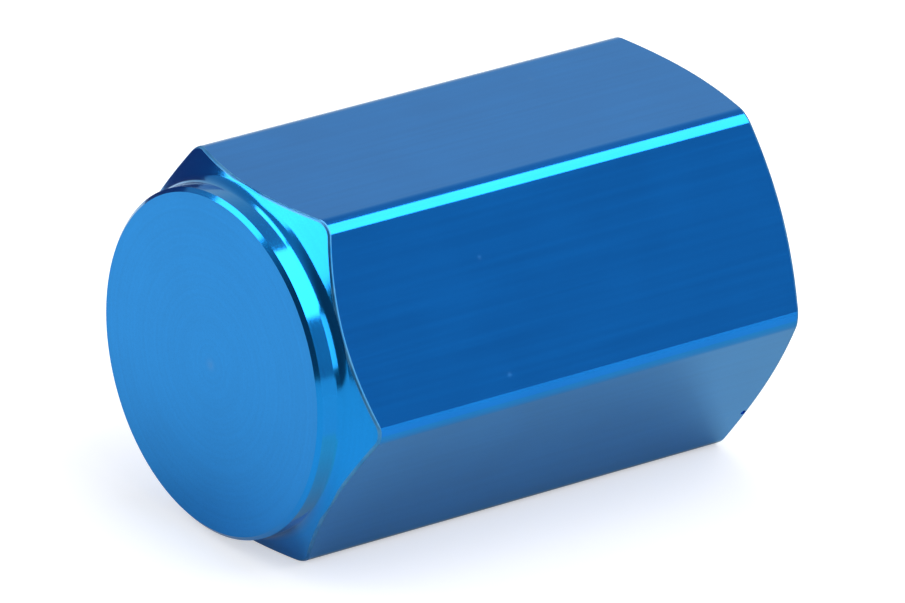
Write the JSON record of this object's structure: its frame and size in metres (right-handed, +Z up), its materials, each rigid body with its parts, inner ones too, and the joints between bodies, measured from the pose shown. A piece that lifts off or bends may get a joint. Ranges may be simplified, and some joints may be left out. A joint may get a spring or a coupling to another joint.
{
  "type": "tyre valve cap",
  "caption": "Hexagonal metal tyre valve cap with a round turned crown at the closed end, a threaded blind hole at the mouth and a rubber sealing ring on its floor.",
  "frame": {"origin": "bottom centre of the bounding box: under the middle of the cap's length, on the flat that it lies on", "axes": "+X along the cap's axis from the crown to the mouth, +Z up from the flat that it lies on, +Y across two corners"},
  "size_m": [0.016, 0.0114, 0.01],
  "materials": {
    "anodised_aluminium": "satin blue anodised",
    "seal_rubber": "matte black moulded"
  },
  "bodies": {
    "root": {"cap_body": "anodised_aluminium", "sealing_ring": "seal_rubber"}
  },
  "joints": []
}
